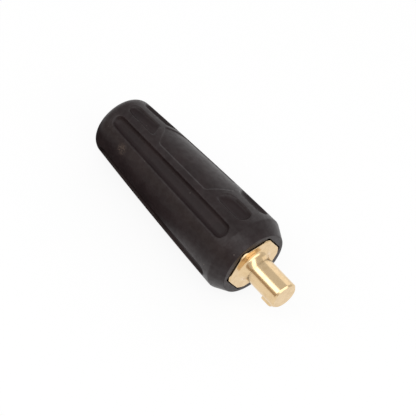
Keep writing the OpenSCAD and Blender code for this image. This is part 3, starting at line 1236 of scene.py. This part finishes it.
class Value:
    """A socket of a material's node tree; arithmetic on it adds Math nodes."""

    def __init__(self, shader: "Shader", socket: bpy.types.NodeSocket) -> None:
        """Keeps the socket and the shader that it belongs to."""
        self.shader = shader
        self.socket = socket

    def math(self, operation: str, *others: Union["Value", float]) -> "Value":
        """Adds a Math node.

        Args:
            operation: The node's operation.
            others: What goes into its other sockets.

        Returns:
            The node's value.
        """
        inputs = dict(enumerate((self, *others)))
        return self.shader.add("ShaderNodeMath", {"operation": operation}, inputs)

    def turned(self, operation: str, other: float) -> "Value":
        """Adds a Math node with this value in its second socket."""
        return self.shader.add("ShaderNodeMath", {"operation": operation}, {0: other, 1: self})

    def __add__(self, other: Union["Value", float]) -> "Value":
        """Adds."""
        return self.math("ADD", other)

    __radd__ = __add__

    def __mul__(self, other: Union["Value", float]) -> "Value":
        """Multiplies."""
        return self.math("MULTIPLY", other)

    __rmul__ = __mul__

    def __sub__(self, other: Union["Value", float]) -> "Value":
        """Subtracts."""
        return self.math("SUBTRACT", other)

    def __rsub__(self, other: float) -> "Value":
        """Subtracts this value from a number."""
        return self.turned("SUBTRACT", other)

    def __truediv__(self, other: Union["Value", float]) -> "Value":
        """Divides."""
        return self.math("DIVIDE", other)

    def __rtruediv__(self, other: float) -> "Value":
        """Divides a number by this value."""
        return self.turned("DIVIDE", other)

    def step(self, low: float, high: float) -> "Value":
        """Rises smoothly from 0 at low to 1 at high."""
        settings = {"interpolation_type": "SMOOTHSTEP"}
        inputs = {"Value": self, "From Min": low, "From Max": high}
        return self.shader.add("ShaderNodeMapRange", settings, inputs)

    def stretch(self, rise: Span, fall: Span) -> "Value":
        """Rises smoothly from 0 to 1 over one range, and falls back to 0 over another."""
        return self.step(*rise) * (1.0 - self.step(*fall))


Input = Union[Value, float, tuple]


class Shader:
    """The node tree of a material or of a world."""

    def __init__(self, owner: Union[bpy.types.Material, bpy.types.World]) -> None:
        """Starts with an empty tree."""
        owner.use_nodes = True
        self.owner = owner
        self.tree = owner.node_tree
        self.tree.nodes.clear()

    def node(self, kind: str, settings: dict, inputs: dict, *outputs: Union[int, str]) -> list[Value]:
        """Adds a node.

        Args:
            kind: The node's type.
            settings: What is set on the node itself.
            inputs: What its sockets get, by name or by number.
            outputs: The sockets to return, by name or by number.

        Returns:
            Those outputs of the node.
        """
        node = self.tree.nodes.new(kind)
        for key, setting in settings.items():
            setattr(node, key, setting)
        for key, value in inputs.items():
            socket = node.inputs[key]
            if isinstance(value, Value):
                self.tree.links.new(value.socket, socket)
            elif isinstance(value, tuple) and socket.type == "RGBA":
                socket.default_value = (*value, 1.0)
            else:
                socket.default_value = value
        return [Value(self, node.outputs[output]) for output in outputs]

    def add(self, kind: str, settings: dict, inputs: dict, output: Union[int, str] = 0) -> Value:
        """Adds a node and returns one of its outputs, the first if none is named."""
        return self.node(kind, settings, inputs, output)[0]

    def mix(self, factor: Input, first: Input, second: Input) -> Value:
        """Mixes two colours."""
        return self.add("ShaderNodeMix", {"data_type": "RGBA"}, {0: factor, 6: first, 7: second}, 2)

    def noise(self, vector: Value, scale: float, detail: float, roughness: float) -> Value:
        """Noise from 0 to 1 with a feature size of about one over its scale, in metres."""
        inputs = {"Vector": vector, "Scale": scale, "Detail": detail, "Roughness": roughness}
        return self.add("ShaderNodeTexNoise", {}, inputs)

    def plug_space(self, lie: Lie) -> Value:
        """Object coordinates turned so that Z is the plug's own axis."""
        place = self.add("ShaderNodeTexCoord", {}, {}, "Object")
        turn = (0.0, -(math.pi / 2.0 - math.radians(lie.lean)), -math.radians(lie.turn))
        return self.add("ShaderNodeMapping", {}, {"Vector": place, "Rotation": turn})

    def split(self, vector: Value) -> list[Value]:
        """The three parts of a vector."""
        return self.node("ShaderNodeSeparateXYZ", {}, {"Vector": vector}, 0, 1, 2)

    def join(self, *parts: Input) -> Value:
        """A vector from three parts."""
        return self.add("ShaderNodeCombineXYZ", {}, dict(enumerate(parts)))

    def bump(self, height: Value, distance: float, before: Union[Value, None] = None) -> Value:
        """Bumps the surface by a height from 0 to 1 over a distance in metres."""
        inputs = {"Height": height, "Distance": distance, "Strength": 1.0}
        if before is not None:
            inputs["Normal"] = before
        return self.add("ShaderNodeBump", {}, inputs)

    def close(self, surface: Value,
              kind: str = "ShaderNodeOutputMaterial") -> Union[bpy.types.Material, bpy.types.World]:
        """Ends the tree with a surface and returns what it belongs to."""
        self.node(kind, {}, {"Surface": surface})
        return self.owner


def polar(across: Value, aside: Value) -> tuple[Value, Value]:
    """Distance from the plug's axis and angle about it, from the parts of a place across it."""
    radius = (across * across + aside * aside).math("SQRT")
    return radius, aside.math("ARCTAN2", across)


@dataclass(frozen=True)
class Rubber:
    """Moulded black rubber: a fine grain, a parting line, specks of dust and a small scuff."""

    dark: Colour = (0.0115, 0.0058, 0.0062)
    light: Colour = (0.0170, 0.0094, 0.0098)
    dust: Colour = (0.20, 0.17, 0.15)
    scuff: Colour = (0.115, 0.078, 0.058)
    scuff_at: tuple[float, float, float] = (0.01420, 0.00740, -0.07670)
    scuff_edge: Span = (0.0010, 0.0034)
    scuff_cover: float = 0.6
    streak_edge: Span = (0.46, 0.62)
    speck_edge: Span = (0.05, 0.11)
    speck_pick: Span = (0.87, 0.9)
    speck_cover: float = 0.8
    cloud_edge: Span = (0.35, 0.7)
    blotch_edge: Span = (0.35, 0.65)
    floor_edge: Span = (0.3, 1.1)
    roughness: float = 0.42
    specular: float = 0.2
    coat: float = 0.14
    coat_blotch: float = 0.2
    coat_roughness: float = 0.42
    cloud_rough: float = 0.16
    grain_rough: float = 0.08
    speck_rough: float = 0.2
    grain_share: float = 0.35
    seam_share: float = 0.5
    floor_fade: float = 0.5
    cloud_scale: float = 90.0
    wave_scale: float = 210.0
    blotch_scale: float = 420.0
    speck_scale: float = 420.0
    streak_scale: float = 1900.0
    grain_scale: float = 3200.0
    wave_depth: float = 0.00007
    grain_depth: float = 0.00004
    seam_turn: float = 36.0
    seam_edge: Span = (0.004, 0.014)

    def sunk(self, sleeve: Sleeve, height: Value, radius: Value) -> Value:
        """Mask of the flutes' floors.

        Args:
            sleeve: The sleeve.
            height: Height along the axis, in millimetres.
            radius: Distance from the axis, in millimetres.

        Returns:
            A value that is 1 on the floors.
        """
        rise, fall = ((stop - self.floor_fade, stop + self.floor_fade)
                      for stop in (sleeve.flute_bottom, sleeve.flute_top))
        fluted = height.stretch(rise, fall)
        return (sleeve.skin_r(height) - radius).step(*self.floor_edge) * fluted

    def specks(self, shader: Shader, place: Value) -> Value:
        """Mask of the specks of dust, in a few of the cells of a pattern."""
        inputs = {"Vector": place, "Scale": self.speck_scale}
        away, pick = shader.node("ShaderNodeTexVoronoi", {"feature": "F1"}, inputs, "Distance", "Color")
        picked = shader.split(pick)[0].step(*self.speck_pick)
        return (1.0 - away.step(*self.speck_edge)) * picked

    def worn(self, shader: Shader, place: Value) -> Value:
        """Mask of the scuff, broken up by streaks."""
        inputs = {0: place, 1: self.scuff_at}
        away = shader.add("ShaderNodeVectorMath", {"operation": "DISTANCE"}, inputs, "Value")
        streaks = shader.noise(place, self.streak_scale, 2.0, 0.6)
        return (1.0 - away.step(*self.scuff_edge)) * streaks.step(*self.streak_edge)

    def seam(self, turn: Value) -> Value:
        """Mask of the parting line, which runs along both sides of the sleeve."""
        off = turn - math.radians(self.seam_turn)
        nearest = off.math("ABSOLUTE").math("MINIMUM", (off + math.pi).math("ABSOLUTE"))
        return 1.0 - nearest.step(*self.seam_edge)

    def material(self, lie: Lie, sleeve: Sleeve) -> bpy.types.Material:
        """Builds the material.

        Args:
            lie: How the plug lies.
            sleeve: The sleeve, whose flutes have duller floors than the skin that hands polish.

        Returns:
            The material.
        """
        shader = Shader(bpy.data.materials.new("rubber"))
        place = shader.plug_space(lie)
        across, aside, along = shader.split(place)
        radius, turn = polar(across, aside)
        cloud = shader.noise(place, self.cloud_scale, 3.0, 0.55)
        wave = shader.noise(place, self.wave_scale, 1.0, 0.4)
        blotch = shader.noise(place, self.blotch_scale, 3.0, 0.6).step(*self.blotch_edge)
        grain = shader.noise(place, self.grain_scale, 2.0, 0.6)
        speck = self.specks(shader, place)
        colour = shader.mix(cloud.step(*self.cloud_edge), self.dark, self.light)
        colour = shader.mix(speck * self.speck_cover, colour, self.dust)
        colour = shader.mix(self.worn(shader, place) * self.scuff_cover, colour, self.scuff)
        normal = shader.bump(wave, self.wave_depth)
        fine = grain * self.grain_share + self.seam(turn) * self.seam_share
        normal = shader.bump(fine, self.grain_depth, normal)
        rough = self.roughness + (cloud - 0.5) * self.cloud_rough + (grain - 0.5) * self.grain_rough
        rough = rough + speck * self.speck_rough
        sunk = self.sunk(sleeve, along * MM_PER_METRE, radius * MM_PER_METRE)
        coat = (1.0 - sunk) * (blotch * self.coat_blotch + self.coat)
        surface = shader.add("ShaderNodeBsdfPrincipled", {}, {
            "Base Color": colour, "Roughness": rough, "Normal": normal, "Metallic": 0.0,
            "Specular IOR Level": self.specular, "Coat Weight": coat,
            "Coat Roughness": self.coat_roughness})
        return shader.close(surface)


@dataclass(frozen=True)
class Metal:
    """A turned or drawn metal: rings of fine tool marks, with a little tarnish."""

    name: str
    bright: Colour
    tarnish: Colour
    roughness: float
    marks: float
    fine_scale: float = 5200.0
    coarse_scale: float = 1300.0
    cloud_scale: float = 260.0
    around: float = 0.0004
    tarnish_edge: Span = (0.4, 0.75)
    tarnish_cover: float = 0.6
    fine_share: float = 0.6
    coarse_share: float = 0.4
    cloud_rough: float = 0.1
    fine_rough: float = 0.08

    def material(self, lie: Lie) -> bpy.types.Material:
        """Builds the material.

        Args:
            lie: How the plug lies.

        Returns:
            The material.
        """
        shader = Shader(bpy.data.materials.new(self.name))
        place = shader.plug_space(lie)
        across, aside, along = shader.split(place)
        radius, turn = polar(across, aside)
        tool = shader.join(radius, turn * self.around, along)
        rings = shader.noise(tool, self.fine_scale, 3.0, 0.6)
        coarse = shader.noise(tool, self.coarse_scale, 2.0, 0.5)
        cloud = shader.noise(place, self.cloud_scale, 3.0, 0.6)
        tarnished = cloud.step(*self.tarnish_edge) * self.tarnish_cover
        colour = shader.mix(tarnished, self.bright, self.tarnish)
        normal = shader.bump(rings * self.fine_share + coarse * self.coarse_share, self.marks)
        rough = self.roughness + (cloud - 0.5) * self.cloud_rough + (rings - 0.5) * self.fine_rough
        surface = shader.add("ShaderNodeBsdfPrincipled", {}, {
            "Base Color": colour, "Roughness": rough, "Normal": normal, "Metallic": 1.0})
        return shader.close(surface)


def facing(place: Vector, right: Vector, back: Vector) -> Matrix:
    """Puts a lamp or a camera in place, each of which looks along its own -Z.

    Args:
        place: Where it is.
        right: Direction of its X.
        back: Direction of its Z, away from what it looks at.

    Returns:
        The object's matrix.
    """
    turn = Matrix((right, back.cross(right), back)).transposed()
    return Matrix.Translation(place) @ turn.to_4x4()


@dataclass(frozen=True)
class Lamp:
    """A long soft lamp that faces the pin; at a level of 1 its face is white."""

    name: str
    start: tuple[float, float, float]
    end: tuple[float, float, float]
    width: float
    level: float

    def hang(self) -> None:
        """Hangs the lamp between the middles of its two short sides."""
        start, end = Vector(self.start), Vector(self.end)
        light = bpy.data.lights.new(self.name, "AREA")
        light.shape = "RECTANGLE"
        light.size = (end - start).length
        light.size_y = self.width
        light.energy = self.level * math.pi * light.size * light.size_y
        along = (end - start).normalized()
        place = (start + end) / 2.0
        back = (place - along * place.dot(along)).normalized()
        in_scene(self.name, light).matrix_world = facing(place, along, back)


@dataclass(frozen=True)
class Studio:
    """Floor, world, lamps and camera."""

    world: float = 0.7
    horizon: float = 0.4
    band_up: Span = (0.2, 0.42)
    band_across: Span = (-0.7, -0.3)
    warm: Colour = (1.0, 0.74, 0.5)
    floor_size: float = 4.0
    floor_colour: Colour = (0.9, 0.9, 0.9)
    glow: float = 0.9
    # Depth, and extent along and across, of the painted shadow that glossy rays see on the floor beside the
    # plug.
    shade: float = 0.95
    shade_along: tuple[Span, Span] = ((-0.16, -0.13), (-0.055, -0.03))
    shade_across: tuple[Span, Span] = ((-0.13, -0.085), (-0.002, 0.012))
    aim: tuple[float, float, float] = (-34.096, 1.559, 0.0)
    distance: float = 775.54
    azimuth: float = -53.620
    elevation: float = 48.601
    roll: float = 19.583
    lens: float = 155.77
    sensor: float = 36.0
    lamps: tuple[Lamp, ...] = (
        Lamp("window", (-0.95, -1.0, 0.70), (1.1, -0.2, 1.2), 0.6, 1.8),
        Lamp("front", (1.2, -0.45, 0.62), (1.2, 1.0, 0.62), 0.8, 1.3),
        Lamp("side", (-1.1, 1.25, 0.6), (0.1, 1.25, 0.6), 1.2, 0.5))

    def floor_material(self) -> bpy.types.Material:
        """Builds a matt white that is seen evenly white, and that glossy rays, from metal and rubber alike,
        see with a painted shadow beside the plug.

        Returns:
            The material.
        """
        shader = Shader(bpy.data.materials.new("floor"))
        matt = shader.add("ShaderNodeBsdfDiffuse", {}, {"Color": self.floor_colour})
        seen, glossy, through = shader.node("ShaderNodeLightPath", {}, {}, "Is Camera Ray",
                                            "Is Glossy Ray", "Is Transmission Ray")
        along, across, _ = shader.split(shader.add("ShaderNodeTexCoord", {}, {}, "Object"))
        # Painted shadow: a dark patch beside the plug, seen only by glossy rays, that stands for the plug's
        # own shadow on the floor.
        dark = along.stretch(*self.shade_along) * across.stretch(*self.shade_across)
        level = 1.0 - glossy * dark * self.shade
        light = shader.add("ShaderNodeEmission", {}, {"Color": WHITE, "Strength": level})
        share = (seen * self.glow).math("MAXIMUM", glossy.math("MAXIMUM", through))
        return shader.close(shader.add("ShaderNodeMixShader", {}, {0: share, 1: matt, 2: light}))

    def floor(self, height: float) -> None:
        """Lays the floor.

        Args:
            height: Height of the floor.
        """
        shape = bmesh.new()
        bmesh.ops.create_grid(shape, x_segments=4, y_segments=4, size=self.floor_size)
        bmesh.ops.transform(shape, matrix=Matrix.Translation((0.0, 0.0, height)), verts=shape.verts)
        mesh = as_mesh("floor", shape)
        mesh.materials.append(self.floor_material())
        floor = in_scene("floor", mesh)

    def sky(self) -> None:
        """Makes the world an even pale grey, darker and warmer along the horizon in front."""
        shader = Shader(bpy.data.worlds.new("studio"))
        _, across, up = shader.split(shader.add("ShaderNodeTexCoord", {}, {}, "Generated"))
        band = (1.0 - up.math("ABSOLUTE").step(*self.band_up)) * (1.0 - across.step(*self.band_across))
        level = self.world - band * (self.world - self.horizon)
        tint = shader.mix(band, WHITE, self.warm)
        back = shader.add("ShaderNodeBackground", {}, {"Color": tint, "Strength": level})
        bpy.context.scene.world = shader.close(back, "ShaderNodeOutputWorld")

    def camera(self) -> None:
        """Sets the camera at the photograph's angle."""
        view = bpy.data.cameras.new("camera")
        view.lens = self.lens
        view.sensor_width = self.sensor
        view.clip_start = 0.01
        elevation = math.radians(self.elevation)
        azimuth = math.radians(self.azimuth)
        back = Vector((math.cos(elevation) * math.cos(azimuth),
                       math.cos(elevation) * math.sin(azimuth), math.sin(elevation)))
        place = (Vector(self.aim) + back * self.distance) * MM
        level = Vector((0.0, 0.0, 1.0)).cross(back).normalized()
        right = Matrix.Rotation(math.radians(self.roll), 3, back) @ level
        camera = in_scene("camera", view)
        camera.matrix_world = facing(place, right, back)
        bpy.context.scene.camera = camera

    def build(self, low: float) -> None:
        """Sets up the whole studio.

        Args:
            low: Height of the plug's lowest point.
        """
        self.camera()
        self.sky()
        self.floor(low)
        for lamp in self.lamps:
            lamp.hang()
        bpy.context.scene.view_settings.view_transform = "Standard"


BRASS = Metal("brass", (0.79, 0.59, 0.35), (0.63, 0.44, 0.23), 0.2, 0.0000003)
STEEL = Metal("steel", (0.55, 0.55, 0.56), (0.35, 0.33, 0.32), 0.3, 0.000003)
COPPER = Metal("copper", (0.85, 0.50, 0.34), (0.55, 0.28, 0.18), 0.3, 0.000003)


def main() -> None:
    """Builds the plug's pieces and the studio."""
    logging.basicConfig(level=logging.INFO, format="%(name)s %(message)s")
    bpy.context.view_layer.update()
    Studio().build(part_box("sleeve")[0].z)
    fit = Fit()
    sleeve = Sleeve(fit)
    lie = sleeve.lie()
    pieces = [(sleeve, Rubber().material(lie, sleeve)), (PlugBody(fit), BRASS.material(lie))]
    for end, height in zip(("front", "rear"), fit.screw_heights):
        screw = ClampScrew(fit, f"clamp_screw_{end}_steel", f"clamp_screw_{end}", height)
        pieces.append((screw, STEEL.material(lie)))
    pieces.append((ContactSleeve(fit), COPPER.material(lie)))
    for piece, material in pieces:
        piece.make(lie, material)
    bpy.context.view_layer.update()


if __name__ == "__main__":
    main()
